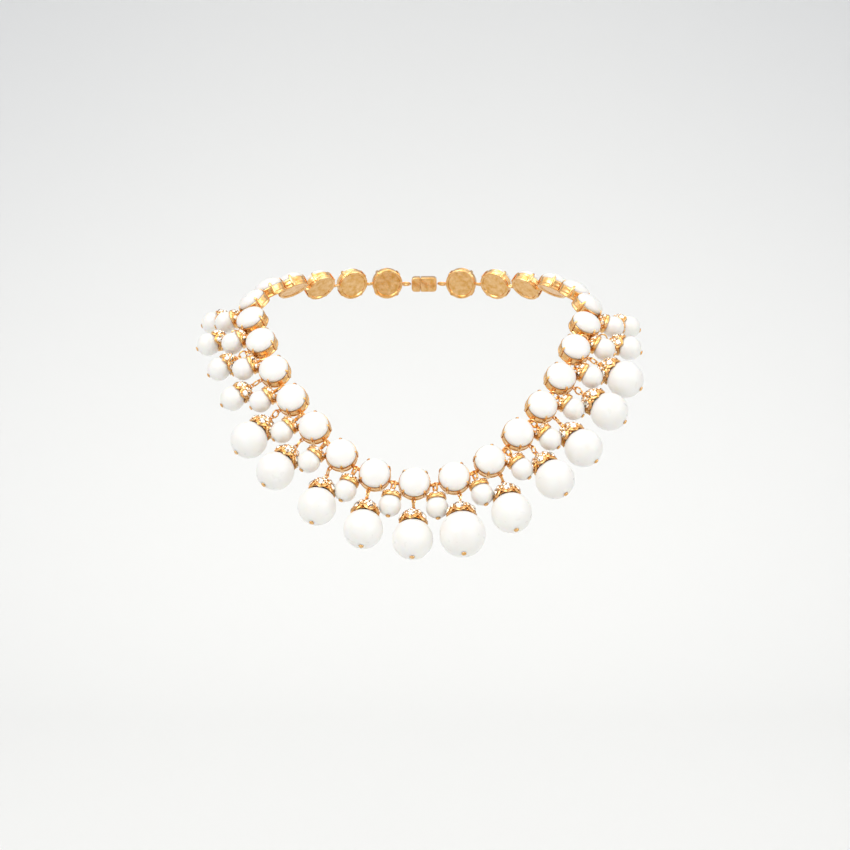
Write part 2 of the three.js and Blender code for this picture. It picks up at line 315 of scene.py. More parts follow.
def moved(part, matrix):
    verts, faces = part
    return [matrix @ Vector(v) for v in verts], faces


def upright(part, facing, height):
    """Stands a flat ring up, its length along Z, with its middle at a height and facing round by degrees."""
    face = Vector((*polar(1, math.radians(facing)), 0))
    up = Vector((0, 0, 1))
    return moved(part, axes(up, face.cross(up), face, Vector((0, 0, height))))


def placed(x=0.0, y=0.0, z=0.0):
    return Matrix.Translation((x, y, z))


def linked(name, data):
    """A new object in the scene, from a mesh, a lamp or a camera."""
    made = bpy.data.objects.new(name, data)
    bpy.context.scene.collection.objects.link(made)
    return made


def hidden(name, mesh):
    made = linked(name, mesh)
    made.hide_render = True
    return made


def master(name, parts, sharp=40, flat=False):
    """One hidden mesh object from parts in millimetres, for the node trees to copy."""
    verts, faces = [], []
    for part_verts, part_faces in parts:
        faces += [tuple(i + len(verts) for i in face) for face in part_faces]
        verts += [Vector(v) * MM for v in part_verts]
    mesh = bpy.data.meshes.new(name)
    mesh.from_pydata(verts, [], faces)
    shell = bmesh.new()
    shell.from_mesh(mesh)
    bmesh.ops.recalc_face_normals(shell, faces=shell.faces)
    shell.to_mesh(mesh)
    shell.free()
    if flat:
        mesh.shade_flat()
    else:
        mesh.shade_smooth()
        mesh.set_sharp_from_angle(angle=math.radians(sharp))
    return hidden(name, mesh)


# %% [markdown]
# ## Two node trees that repeat things
# A claw comes four times round its setting, a petal six times round its crown, and whole settings follow
# the loop. Geometry Nodes do both jobs. The first tree copies a part round Z by a count. The second sets a
# copy of a master on each point of a small mesh, turned and stretched as the point's own attributes say, with
# a small random wobble from a fixed seed for what hangs loosely. Both end in real meshes, because instances
# are lost in the export.

# %% One function that adds a node, and the two trees
def feed(tree, node, inputs):
    """Sets a node's inputs. Each is a value, or a socket to link from."""
    for key, value in inputs.items():
        if isinstance(value, bpy.types.NodeSocket):
            tree.links.new(value, node.inputs[key])
        else:
            node.inputs[key].default_value = value
    return node


def put(tree, kind, inputs=None, **settings):
    """Adds a node with its settings and inputs."""
    made = tree.nodes.new(kind)
    for name, value in settings.items():
        setattr(made, name, value)
    return feed(tree, made, inputs or {})


def new_tree(name, sizes):
    """A geometry tree with named inputs, each a (name, socket type, default)."""
    tree = bpy.data.node_groups.new(name, "GeometryNodeTree")
    tree.interface.new_socket("Geometry", in_out="INPUT", socket_type="NodeSocketGeometry")
    for label, kind, default in sizes:
        socket = tree.interface.new_socket(label, in_out="INPUT", socket_type=kind)
        if default is not None:
            socket.default_value = default
    tree.interface.new_socket("Geometry", in_out="OUTPUT", socket_type="NodeSocketGeometry")
    return tree, put(tree, "NodeGroupInput").outputs


def end_tree(tree, instances, material):
    real = put(tree, "GeometryNodeRealizeInstances", {"Geometry": instances})
    finished = put(tree, "GeometryNodeSetMaterial", {"Geometry": real.outputs[0], "Material": material})
    put(tree, "NodeGroupOutput", {"Geometry": finished.outputs[0]})


ROUND, given = new_tree("Round a middle", [
    ("Count", "NodeSocketInt", 4), ("First turn", "NodeSocketFloat", 0.0),
    ("Material", "NodeSocketMaterial", None)])
points = put(ROUND, "GeometryNodePoints", {"Count": given["Count"]})
step = put(ROUND, "ShaderNodeMath", {0: math.tau, 1: given["Count"]}, operation="DIVIDE")
index = put(ROUND, "GeometryNodeInputIndex")
turn = put(ROUND, "ShaderNodeMath", {0: index.outputs[0], 1: step.outputs[0], 2: given["First turn"]},
           operation="MULTIPLY_ADD")
spin = put(ROUND, "ShaderNodeCombineXYZ", {"Z": turn.outputs[0]})
copies = put(ROUND, "GeometryNodeInstanceOnPoints",
             {"Points": points.outputs[0], "Instance": given["Geometry"], "Rotation": spin.outputs[0]})
end_tree(ROUND, copies.outputs[0], given["Material"])

ALONG, given = new_tree("Along the loop", [
    ("Piece", "NodeSocketObject", None), ("Wobble", "NodeSocketFloat", 0.0), ("Seed", "NodeSocketInt", 3),
    ("Material", "NodeSocketMaterial", None)])
piece = put(ALONG, "GeometryNodeObjectInfo", {"Object": given["Piece"], "As Instance": True})
turn = put(ALONG, "GeometryNodeInputNamedAttribute", {"Name": "turn"}, data_type="QUATERNION")
size = put(ALONG, "GeometryNodeInputNamedAttribute", {"Name": "size"}, data_type="FLOAT_VECTOR")
most = put(ALONG, "ShaderNodeVectorMath", {0: (1, 1, 1), "Scale": given["Wobble"]}, operation="SCALE")
least = put(ALONG, "ShaderNodeVectorMath", {0: most.outputs[0], "Scale": -1.0}, operation="SCALE")
chance = put(ALONG, "FunctionNodeRandomValue", {
    "Min": least.outputs[0], "Max": most.outputs[0], "Seed": given["Seed"]}, data_type="FLOAT_VECTOR")
tilt = put(ALONG, "FunctionNodeEulerToRotation", {0: chance.outputs[0]})
pose = put(ALONG, "FunctionNodeRotateRotation",
           {"Rotation": turn.outputs[0], "Rotate By": tilt.outputs[0]}, rotation_space="LOCAL")
copies = put(ALONG, "GeometryNodeInstanceOnPoints", {
    "Points": given["Geometry"], "Instance": piece.outputs["Geometry"], "Rotation": pose.outputs[0],
    "Scale": size.outputs[0]})
end_tree(ALONG, copies.outputs[0], given["Material"])
print("trees:", ROUND.name, len(ROUND.nodes), "nodes;", ALONG.name, len(ALONG.nodes), "nodes")

# %% [markdown]
# ## Using the trees
# A modifier's inputs are set by their identifiers before the object is first evaluated. The evaluated result
# becomes a plain mesh, the source goes, and only then does the piece ride on its body.

# %% Evaluate a tree, and finish a piece
def grown(source, tree, values):
    """The mesh that a tree makes from an object. The object is removed."""
    modifier = source.modifiers.new(tree.name, "NODES")
    modifier.node_group = tree
    for item in tree.interface.items_tree:
        if item.in_out == "INPUT" and item.name in values:
            modifier[item.identifier] = values[item.name]
    bpy.context.view_layer.update()
    mesh = bpy.data.meshes.new_from_object(source.evaluated_get(bpy.context.evaluated_depsgraph_get()))
    bpy.data.objects.remove(source)
    return mesh


def around(name, source, count, first_turn, material):
    """A master made of copies of another one round Z."""
    values = {"Count": count, "First turn": math.radians(first_turn), "Material": material}
    return hidden(name, grown(source, ROUND, values))


def joined(name, *objects):
    """One master from several, each with its own material."""
    shell = bmesh.new()
    materials = []
    for made in objects:
        start = len(shell.faces)
        shell.from_mesh(made.data)
        shell.faces.ensure_lookup_table()
        offset = len(materials)
        materials += list(made.data.materials)
        for face in shell.faces[start:]:
            face.material_index += offset
        bpy.data.objects.remove(made)
    mesh = bpy.data.meshes.new(name)
    shell.to_mesh(mesh)
    shell.free()
    for material in materials:
        mesh.materials.append(material)
    return hidden(name, mesh)


TALLY = {}  # the triangles of each finished piece


def set_out(name, piece, frames, material, nodes, sizes=None, wobble=0.0):
    """Sets copies of a master in frames of the part, and finishes them as one piece of the necklace."""
    spots = bpy.data.meshes.new(name)
    spots.from_pydata([f.translation * MM for f in frames], [], [])
    spots.attributes.new("turn", "QUATERNION", "POINT")
    spots.attributes.new("size", "FLOAT_VECTOR", "POINT")
    for i, f in enumerate(frames):
        spots.attributes["turn"].data[i].value = f.to_quaternion()
        spots.attributes["size"].data[i].vector = sizes[i] if sizes else (1, 1, 1)
    values = {"Piece": piece, "Wobble": math.radians(wobble), "Material": material}
    mesh = grown(hidden(name, spots), ALONG, values)
    mesh.name = name
    made = linked(name, mesh)
    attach(made, "root")
    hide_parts(*nodes)
    TALLY[name] = sum(len(p.vertices) - 2 for p in mesh.polygons)


# %% [markdown]
# ## Materials
# ### Cast resin
# The stones and beads are opaque white resin, cast in a mould and tumbled. That gives the eye a warm white
# with a soft gloss, hardly any grain, and a little light that enters and comes out again at the edges. The
# cloudiness is 6 mm wide, the gloss varies at 2.5 mm, and the tumbling marks are 0.7 mm, which is about as
# fine as still shows.

# %% Colour conversion, and the white resin
def linear(code):
    """A colour written as sRGB hex, as Blender's linear values."""
    channels = (int(code[i:i + 2], 16) / 255 for i in (1, 3, 5))
    return (*(c / 12.92 if c <= 0.04045 else ((c + 0.055) / 1.055) ** 2.4 for c in channels), 1.0)


def new_material(name, shader_values):
    """A material and its tree, with a Principled shader and the Object coordinates."""
    made = bpy.data.materials.new(name)
    made.use_nodes = True
    tree = made.node_tree
    tree.nodes.clear()
    shader = put(tree, "ShaderNodeBsdfPrincipled", shader_values)
    put(tree, "ShaderNodeOutputMaterial", {"Surface": shader.outputs[0]})
    return made, tree, shader, put(tree, "ShaderNodeTexCoord").outputs["Object"]


WIDE, MIDDLE = (0.2, 0.8), (0.3, 0.7)  # the parts of a noise's values that are used


def noise(tree, where, width_mm, detail=2.0):
    """A noise whose patches are about so many millimetres wide."""
    values = {"Vector": where, "Scale": 1 / (width_mm * MM), "Detail": detail}
    return put(tree, "ShaderNodeTexNoise", values).outputs["Fac"]


def ranged(tree, value, part, low=0.0, high=1.0):
    """Maps a part of a value's range to another range."""
    return put(tree, "ShaderNodeMapRange", {0: value, 1: part[0], 2: part[1], 3: low, 4: high}).outputs[0]


def between(tree, share, first, second):
    """The colour at a share of the way from one sRGB hex value to another."""
    ends = {0: share, 6: linear(first), 7: linear(second)}
    return put(tree, "ShaderNodeMix", ends, data_type="RGBA").outputs[2]


def relief(tree, height, depth_mm, strength):
    """A normal that makes a noise look like low bumps."""
    values = {"Height": height, "Distance": depth_mm * MM, "Strength": strength}
    return put(tree, "ShaderNodeBump", values).outputs[0]


RESIN, tree, shader, where = new_material("Cast opaque white resin", {
    "IOR": 1.5, "Subsurface Weight": 0.3, "Subsurface Radius": (1.0, 0.75, 0.5),
    "Subsurface Scale": 1.8 * MM})
feed(tree, shader, {
    "Base Color": between(tree, ranged(tree, noise(tree, where, 6, 0.5), WIDE), "#f6f5f2", "#f2f0eb"),
    "Roughness": ranged(tree, noise(tree, where, 2.5, 0.5), WIDE, 0.26, 0.36),
    "Normal": relief(tree, noise(tree, where, 0.7, 0.0), 0.02, 0.03)})
print("made", RESIN.name)

# %% [markdown]
# ### Gold plate
# Settings, links and crowns are cast in brass, polished and plated with yellow gold. It gives the eye a warm
# colour that deepens in the recesses, and a polish that is slightly uneven on small castings. Worn and less
# worn patches are 2 mm wide, the gloss varies at 1.2 mm, and the surface is uneven at 0.9 mm. A metal keeps
# the default IOR.

# %% The gold plate
GOLD, tree, shader, where = new_material("Yellow gold plate on cast brass", {"Metallic": 1.0})
feed(tree, shader, {
    "Base Color": between(tree, ranged(tree, noise(tree, where, 2.0), MIDDLE), "#f2c994", "#dda556"),
    "Roughness": ranged(tree, noise(tree, where, 1.2, 3.0), MIDDLE, 0.14, 0.28),
    "Normal": relief(tree, noise(tree, where, 0.9), 0.03, 0.12)})
print("made", GOLD.name)

# %% [markdown]
# ### Cut glass crystals
# The small crystals are colourless cut glass with foil behind, so each facet throws back the light as a
# mirror does. Clear glass would need light from behind and would show as grey at this size. The base is
# therefore a bright, slightly warm mirror under a clear coat. The foil and the gold round it, seen many times
# over through the facets, are painted into its colour as cream and brown patches from cells of 0.8 mm:
# painted reflections, and in the brown also painted shade.

# %% The foiled crystals
CRYSTAL, tree, shader, where = new_material("Foil-backed cut crystal", {
    "Metallic": 0.85, "Coat Weight": 1.0, "Coat Roughness": 0.03, "Coat IOR": 1.54})
cells = put(tree, "ShaderNodeTexVoronoi", {"Vector": where, "Scale": 1 / (0.8 * MM)})
painted_reflection_and_gloss = put(tree, "ShaderNodeSeparateColor", {0: cells.outputs["Color"]}).outputs[0]
# Painted reflection and painted shade: the cells paint cream and brown patches into the base colour, and also
# vary the gloss.
feed(tree, shader, {
    "Base Color": between(tree, ranged(tree, painted_reflection_and_gloss, (0.5, 0.85)), "#fff6e8", "#5e4430"),
    "Roughness": ranged(tree, painted_reflection_and_gloss, MIDDLE, 0.06, 0.2)})
print("made", CRYSTAL.name)

# %% [markdown]
# ## The settings
# Each setting is a shallow round cup with four claws on its diagonals. The cup is turned: a recessed back, a
# foot ring, a groove above it, a slightly hollow wall and a thin rounded lip. A claw is a flattened wire on
# the wall, bent in over the stone and narrower at its tip. The node tree sets it round the cup four times. A
# setting that a drop hangs from has an eye at its lower edge.

# %% The cup and its claws
CUP = [
    # radius, height
    (0, -3.1), (5.7, -3.1), (5.95, -3.5), (6.4, -3.6), (6.92, -3.54), (7.1, -3.38), (7.16, -3.14),
    (7.12, -2.86), (6.98, -2.64), (6.79, -2.5), (6.73, -2.3), (6.78, -2.1), (6.94, -1.94), (7.04, -1.7),
    (7.0, -1.3), (6.93, -0.8), (6.93, -0.3), (7.0, 0.1), (7.04, 0.4), (6.99, 0.68), (6.86, 0.82), (6.7, 0.8),
    (6.6, 0.6), (6.6, -2.6), (6.3, -2.8), (0, -2.8),
]
CLAW_PATH = [
    (7.1, 0, -3.4), (7.26, 0, -3.15), (7.3, 0, -1.6), (7.2, 0, 0.4), (7.14, 0, 1.05), (6.98, 0, 1.65),
    (6.74, 0, 2.15), (6.46, 0, 2.55), (6.2, 0, 2.8),
]
CLAW_WIDTH = [0.6, 0.78, 0.8, 0.8, 0.76, 0.66, 0.56, 0.44, 0.22]
CLAW_DEPTH = [0.2, 0.3, 0.32, 0.34, 0.34, 0.32, 0.3, 0.26, 0.14]
EYE_RADIUS, EYE_WIRE, EYE_MIDDLE = 0.75, 0.28, 7.82

claw = master("claw", [wire(CLAW_PATH, (0, 1, 0), CLAW_WIDTH, CLAW_DEPTH)])
claws = around("claws", claw, 4, 45, GOLD)
cup = master("cup", [turned(CUP)])
SETTING = joined("setting", claws, cup)
eye = master("eye", [moved(ring(EYE_RADIUS, EYE_WIRE), placed(0, -EYE_MIDDLE, EYE_HEIGHT))])
plain = hidden("plain setting", SETTING.data.copy())
EYED_SETTING = joined("setting with an eye", plain, eye)
print("a setting has", len(SETTING.data.polygons), "faces, with its eye", len(EYED_SETTING.data.polygons))

# %% [markdown]
# ## The stones
# A domed stone fills its cup and swells a little over the lip, so that from the front no metal rim shows.
# Its profile is a straight base, a rounded girdle and then a quarter of an ellipse.

# %% The domed stone
STONE_BASE, STONE_GIRDLE, STONE_TOP = -2.5, 1.35, 5.0
IN_CUP, OVER_LIP = 6.3, 6.68
GIRDLE = [(0, STONE_BASE), (IN_CUP - 0.3, STONE_BASE), (IN_CUP, STONE_BASE + 0.3), (IN_CUP, 0.72),
          (OVER_LIP - 0.12, 0.98), (OVER_LIP - 0.02, 1.15)]


def quarter_dome(radius, base, top, rows):
    turns = [math.pi / 2 * i / rows for i in range(rows)]
    return [(radius * math.cos(a), base + (top - base) * math.sin(a)) for a in turns] + [(0, top)]


dome = quarter_dome(OVER_LIP, STONE_GIRDLE, STONE_TOP, 16)
DOMED_STONE = master("domed stone", [turned(GIRDLE + dome, 64)], 60)
print("a domed stone has", len(DOMED_STONE.data.polygons), "faces")

# %% [markdown]
# ## The beads
# A bead is a ball turned round its bore, because a ball with poles on the bore's axis keeps even faces round
# the hole. The mouths of the bore are eased. Each size has its own master, so that the bore stays one size.

# %% A bored bead of any size
BORE, EASED = 0.85, 0.12


def bored_bead(radius, rows=30, sides=64):
    edge = math.asin((BORE + EASED) / radius)
    turns = [-math.pi / 2 + edge + (math.pi - 2 * edge) * i / rows for i in range(rows + 1)]
    ball = [polar(radius, a) for a in turns]
    mouth = math.sqrt(radius**2 - BORE**2) - EASED
    bore = [(BORE, mouth), (BORE, 0), (BORE, -mouth)]
    return turned(ball + bore + ball[:1], sides)


BEADS = {size: master(f"bead {size} mm", [bored_bead(size / 2)], 60)
         for size in {bead for bead, _ in DROPS.values()}}
SMALL_BEAD_MASTER = master("small bead", [bored_bead(SMALL_BEAD / 2, 20, 40)], 60)
print("bead sizes:", sorted(BEADS), "mm; a bead has", len(BEADS[18].data.polygons), "faces")

# %% [markdown]
# ## The crown caps
# A crown is a bell of six pointed petals. Along its slope it follows one curve from the neck to the petals'
# tips, so every petal, wire and crystal can be placed by two numbers: how far down the slope, and how far
# round. A petal is a curved sheet with a wire along its edge, and it is made once and turned six times. Under
# the petals lies a smooth cup, so that gold and not the bead shows in the arches between their tips.

# %% The slope of a crown
class Bell:
    """The slope of a crown: 0 at its neck and 1 at the tips of its petals."""

    def __init__(self, neck, top, rim, tip, swell):
        shoulder = Vector((swell * rim, 0, top - 0.3 * (top - tip)))
        self.curve = [Vector((neck, 0, top)), shoulder, Vector((rim, 0, tip))]

    def frame(self, down, round_by, lift=0.0):
        """A frame on the slope with Z off it, X across it and Y down it. round_by is in degrees."""
        a, b, c = self.curve
        point = a * (1 - down) ** 2 + b * 2 * down * (1 - down) + c * down**2
        slope = ((b - a) * (1 - down) + (c - b) * down).normalized()
        off = Vector((-slope.z, 0, slope.x))
        turn = Matrix.Rotation(math.radians(round_by), 4, "Z")
        return turn @ axes(slope.cross(off), slope, off, point + off * lift)


PETALS = 6
PETAL_HALF, TIP_HALF = 29.2, 1.5  # half of a petal's width in degrees, at its widest and at its tip
SHOULDER = 0.68
ARCH = 2.6  # the power of the arch from the shoulder to the tip


def petal_half(down):
    past = max(0.0, (down - SHOULDER) / (1 - SHOULDER))
    return max(TIP_HALF, PETAL_HALF * (1 - past**ARCH))


def slab(outer, inner):
    """A closed sheet between two grids of points of the same size."""
    rows, columns = len(outer), len(outer[0])
    verts = [p for grid in (outer, inner) for row in grid for p in row]
    corner = lambda side, i, j: side * rows * columns + i * columns + j
    faces = []
    for side in (0, 1):
        for i in range(rows - 1):
            for j in range(columns - 1):
                square = ((i, j), (i, j + 1), (i + 1, j + 1), (i + 1, j))
                faces.append([corner(side, *spot) for spot in square])
    border = [(0, j) for j in range(columns)] + [(i, columns - 1) for i in range(1, rows)]
    border += [(rows - 1, j) for j in range(columns - 2, -1, -1)]
    border += [(i, 0) for i in range(rows - 2, 0, -1)]
    for here, there in zip(border, border[1:] + border[:1]):
        faces.append([corner(0, *here), corner(0, *there), corner(1, *there), corner(1, *here)])
    return verts, faces


def petal(bell, thick, bulge, edge):
    """One petal along +X, and the wire round its edge."""
    downs = [i / 14 for i in range(15)]
    acrosses = [j / 4 - 1 for j in range(9)]

    def spot(down, aside, lift):
        dished = bulge * (1 - aside * aside) * (1 - (2 * down - 1) ** 4)
        return bell.frame(down, aside * petal_half(down), dished + lift).translation

    sheet = slab(*([[spot(s, u, lift) for u in acrosses] for s in downs] for lift in (0, -thick)))
    slopes = [i / 16 for i in range(4, 17)]
    sides = [(s, -1) for s in slopes] + [(s, 1) for s in slopes[-2::-1]]
    path = [bell.frame(s, side * petal_half(s), 0.5 * edge) for s, side in sides]
    return [sheet, wire([f.translation for f in path], [f.col[2].xyz for f in path], edge, sides=6)]


LINING_DOWN = (0.1, 0.9)  # where it begins and ends on the slope
LINING_LIFTS = (-0.55, -0.8)  # its two faces, under the petals


def lining(bell):
    """The smooth cup just under the petals."""
    first, last = LINING_DOWN
    outer, inner = ([bell.frame(first + (last - first) * i / 10, 0, lift).translation for i in range(11)]
                    for lift in LINING_LIFTS)
    profile = [(p.x, p.z) for p in [*outer[::-1], *inner]]
    return turned(profile + profile[:1])


STAND_OFF = 0.45  # of the petals' tips from the bead
LARGE_RISE, SIDE_RISE = 5.2, 3.8  # of a crown's top over its bead


def large_bell(radius):
    """A crown's slope over a bead of a radius, down to tips that stand just off the bead."""
    top = radius + (LARGE_RISE if 2 * radius > LARGE_BEAD else SIDE_RISE)
    rim = 2.6 + 0.4 * radius
    tip = math.sqrt((radius + STAND_OFF) ** 2 - rim**2)
    return Bell(neck=1.9, top=top, rim=rim, tip=tip, swell=0.88)


neck, _, tip = large_bell(9).curve
print("a crown on an 18 mm bead is", 2 * tip.x, "mm wide and", round(neck.z - tip.z, 1), "mm high")

# %% [markdown]
# ### Crystals and their seats
# Crystals are set close together on the petals, each in a low collar of wire, with grains of gold between
# them. A crystal has a table, two rows of facets and a girdle, which is few faces but enough to sparkle,
# since flat shading gives each facet a light of its own. The large one on each petal is drawn in a little
# towards its two ends.

# %% Cut crystals, their collars and gold grains
def outline(across, along, points, start=0.0, pointed=0.0):
    """An oval, or with pointed above 0 the outline of a navette, as (x, y)."""
    turns = [math.tau * (i + start) / points for i in range(points)]
    return [(across * math.sin(a) * (1 - pointed * abs(math.cos(a))), along * math.cos(a)) for a in turns]


def cut_crystal(across, along, height, points=10, pointed=0.0):
    # Each row is a share of the outline, a height and, in steps of the outline, how far it is turned.
    rows = [(0.9, -0.25, 0.0), (1.0, 0.3 * height, 0.0), (0.8, 0.75 * height, 0.5), (0.5, height, 0.0)]
    verts = [(x * share, y * share, z) for share, z, start in rows
             for x, y in outline(across, along, points, start, pointed)]
    base, girdle, crown, table = (range(i * points, (i + 1) * points) for i in range(4))
    faces = [tuple(base), tuple(table)]
    for i in range(points):
        j = (i + 1) % points
        faces += [(base[i], base[j], girdle[j], girdle[i]), (girdle[i], girdle[j], crown[i]),
                  (girdle[j], crown[j], crown[i]), (crown[i], crown[j], table[j]),
                  (crown[i], table[j], table[i])]
    return verts, faces


def collar_wire(across, along, thick, pointed=0.0):
    path = [(x, y, 0.1) for x, y in outline(across + thick, along + thick, 14, pointed=pointed)]
    return wire(path, (0, 0, 1), thick, sides=5, closed=True)


GRAIN = [(0, -0.1), (0.24, 0), (0.27, 0.12), (0.16, 0.27), (0, 0.32)]
LARGE_CRYSTALS = [
    # down, round, half across, half along, pointed
    (0.71, 0, 1.72, 1.72, 0.18), (0.43, 13.5, 0.95, 0.95, 0.0), (0.43, -13.5, 0.95, 0.95, 0.0),
    (0.22, 0, 0.85, 0.8, 0.0), (0.61, 23.5, 0.52, 0.52, 0.0), (0.61, -23.5, 0.52, 0.52, 0.0),
]
LARGE_GRAINS = [(0.33, 0), (0.28, 22), (0.28, -22), (0.93, 0), (0.80, 20), (0.80, -20)]
COLLAR_WIRE = 0.11


def crystals_on(bell, rows, lift, scale=1.0):
    """The crystals of one petal, and the collars round them."""
    stones, collars = [], []
    for down, round_by, across, along, pointed in rows:
        seat = bell.frame(down, round_by, lift)
        across, along = scale * across, scale * along
        stones.append(moved(cut_crystal(across, along, 0.4 * across + 0.15, pointed=pointed), seat))
        collars.append(moved(collar_wire(across, along, COLLAR_WIRE, pointed), seat))
    return stones, collars


def grains_on(bell, rows, lift):
    return [moved(turned(GRAIN, 6), bell.frame(down, round_by, lift)) for down, round_by in rows]


print(len(LARGE_CRYSTALS) * PETALS, "crystals on a large crown, each of",
      len(cut_crystal(1, 1, 1)[1]), "facets")

# %% [markdown]
# ### What hangs a drop
# A head pin runs up the bore from a domed head, through the cap and its small finial. Above the cap its
# wire is wound round itself and ends in a loop, and a jump ring joins the loop to the eye of the setting. The
# ring faces sideways and the loop to the front, as two links of a chain do.

# %% The pin, its windings and its ring
PIN = 0.45
PIN_HEAD = [(0, -0.72), (0.5, -0.68), (0.85, -0.54), (1.06, -0.32), (1.1, -0.16), (1.0, -0.05), (PIN, -0.05)]
FINIAL = [(0, -0.7), (1.5, -0.7), (1.78, -0.42), (1.76, -0.12), (1.5, 0.02), (1.16, 0.06), (1.1, 0.22),
          (1.2, 0.38), (1.04, 0.6), (0.66, 0.74), (0, 0.78)]
FINIAL_HEIGHT = 0.75


def head_pin(radius, top):
    """The pin from under a bead up to a height, with its head."""
    head = [(r, z - radius) for r, z in PIN_HEAD]
    return turned(head + [(PIN, top), (0, top)], 20)


def windings(low, high, radius=0.52, thick=0.2):
    """Wire wound closely round the pin."""
    turns = max(1, round((high - low) / (2 * thick)))
    steps = 12 * turns
    path = [(*polar(radius, math.tau * turns * i / steps), low + (high - low) * i / steps)
            for i in range(steps + 1)]
    return wire(path, (0, 0, 1), thick, sides=6)


def pin_loop(cap_top, ring_low, ring_wire, loop_radius=0.82, loop_wire=0.24):
    """The loop that holds the lowest wire of a ring, and the windings under it where there is room."""
    play = 0.03
    loop_middle = ring_low + ring_wire + loop_wire + play - loop_radius
    loop_low = loop_middle - loop_radius
    parts = [upright(ring(loop_radius, loop_wire, rounds=20), 90, loop_middle)]
    if loop_low - cap_top > 1:
        parts.append(windings(cap_top + FINIAL_HEIGHT, loop_low + 0.1))
    return parts


def crown_of(gold, stones, stem, first_turn):
    """Six petals joined to a stem, and their crystals, from the parts of one petal."""
    petals = around("petals", master("petal", gold), PETALS, first_turn, GOLD)
    crystals = around("crystals", master("crystal", stones, flat=True), PETALS, first_turn, CRYSTAL)
    return joined("crown", petals, master("stem", stem)), crystals


print("a pin head is", 2 * max(r for r, _ in PIN_HEAD), "mm wide")

# %% A large crown and its crystals
HANGER_WIRE = 0.36
HOOK_SHIFT = 0.35  # the ring goes a little past the middle of the small eye
PIN_END = 1.2  # the straight pin ends this far under the ring
RING_TURN, CROWN_TURN = 12, 14  # the most that a ring and a crown are turned, in degrees


def large_crown(setting, first_turn):
    """The gold of one large drop, and its crystals, in the frame of its bead."""
    radius, reach = DROPS[setting][0] / 2, drop_frame(setting)[1]
    bell = large_bell(radius)
    top, ring_low = bell.curve[0].z, reach - 2 * RING
    scale = radius / 9 if 2 * radius > LARGE_BEAD else 0.82
    stones, collars = crystals_on(bell, LARGE_CRYSTALS, lift=0.3, scale=scale)
    gold = petal(bell, thick=0.5, bulge=0.3, edge=0.24) + collars
    gold += grains_on(bell, LARGE_GRAINS, lift=0.22)
    finial = [(1.25 * r, top + z) for r, z in FINIAL]
    stem = [lining(bell), turned(finial, 24), head_pin(radius, ring_low - PIN_END)]
    stem += pin_loop(top, ring_low, HANGER_WIRE)
    hanger = ring(RING + HOOK_SHIFT / 2, HANGER_WIRE)
    stem.append(upright(hanger, RING_TURN * math.cos(3.1 * setting), reach - RING + HOOK_SHIFT / 2))
    return crown_of(gold, stones, stem, first_turn)


crown, crystals = large_crown(-1, -90)
print("a large crown has", len(crown.data.polygons), "faces, and its crystals", len(crystals.data.polygons))
for sample in (crown, crystals):
    bpy.data.objects.remove(sample)

# %% [markdown]
# ### The small crowns
# A small bead's crown has the same petals, shorter, and their tips end on a smooth band that is nearly as
# wide as the bead. Its ring is long and goes round the wire of the link above. In the middle of the front the
# small drops hang closer to the links, under lower crowns, so there are two crowns to make.

# %% A small crown and its crystals
SMALL_RING, SMALL_RING_HALF, SMALL_RING_WIRE = 1.25, 1.9, 0.48  # its radius, half length and thickness
SMALL_RING_TURN = 40
SMALL_TOP_TO_HOOK = 3.9  # from a crown's top up to the middle of the link's wire
BAND = [(3.62, 3.64), (3.85, 3.48), (4.2, 3.46), (4.42, 3.62), (4.54, 3.88), (4.54, 4.16), (4.45, 4.48),
        (4.28, 4.8), (4.08, 5.0), (3.62, 4.4), (3.62, 3.64)]
SMALL_CRYSTALS = [(0.66, 0, 1.12, 1.05, 0.0), (0.30, 0, 0.62, 0.6, 0.0), (0.50, 24, 0.44, 0.42, 0.0)]
SMALL_GRAINS = [(0.30, 26), (0.80, 24), (0.80, -24)]


def small_crown(reach):
    """The gold of a small drop that hangs so far from the middle of its bead, and its crystals."""
    top = reach - SMALL_TOP_TO_HOOK
    bell = Bell(neck=1.0, top=top, rim=4.15, tip=4.6, swell=0.9)
    stones, collars = crystals_on(bell, SMALL_CRYSTALS, lift=0.22)
    gold = petal(bell, thick=0.45, bulge=0.2, edge=0.22) + collars
    gold += grains_on(bell, SMALL_GRAINS, lift=0.18)
    ring_middle = reach + LINK_WIRE + SMALL_RING_WIRE - SMALL_RING_HALF
    stem = [turned(BAND, 48), turned([(0.7 * r, top + 0.7 * z) for r, z in FINIAL], 20)]
    stem.append(head_pin(SMALL_BEAD / 2, top + 0.5))
    stem += pin_loop(top, ring_middle - SMALL_RING_HALF, SMALL_RING_WIRE, loop_radius=0.72, loop_wire=0.26)
    stem.append(upright(ring(SMALL_RING, SMALL_RING_WIRE, SMALL_RING_HALF), SMALL_RING_TURN, ring_middle))
    return crown_of(gold, stones, stem, -90)


SMALL_REACHES = {"front": 10.6, "side": 11.3}  # about how far the links are from the beads' middles
SMALL_CROWNS = {kind: small_crown(reach) for kind, reach in SMALL_REACHES.items()}
for kind, parts in SMALL_CROWNS.items():
    print("a small crown of the", kind, "has", sum(len(part.data.polygons) for part in parts), "faces")

# %% [markdown]
# ## Links and clasp
# The links are wire ovals between the settings, tilted so that their lower edges come forward. The same oval
# is stretched a little where the settings are further apart. The clasp is a box that a tongue slides into:
# two rounded blocks with a fine gap between them and a tab to press. It lies behind the neck, and its kind is
# a guess.

# %% The link, and the box clasp
MEAN_LINK = 1.63  # the half length of an oval that isn't stretched
LINK = master("link", [ring(LINK_HALF, LINK_WIRE, MEAN_LINK)])


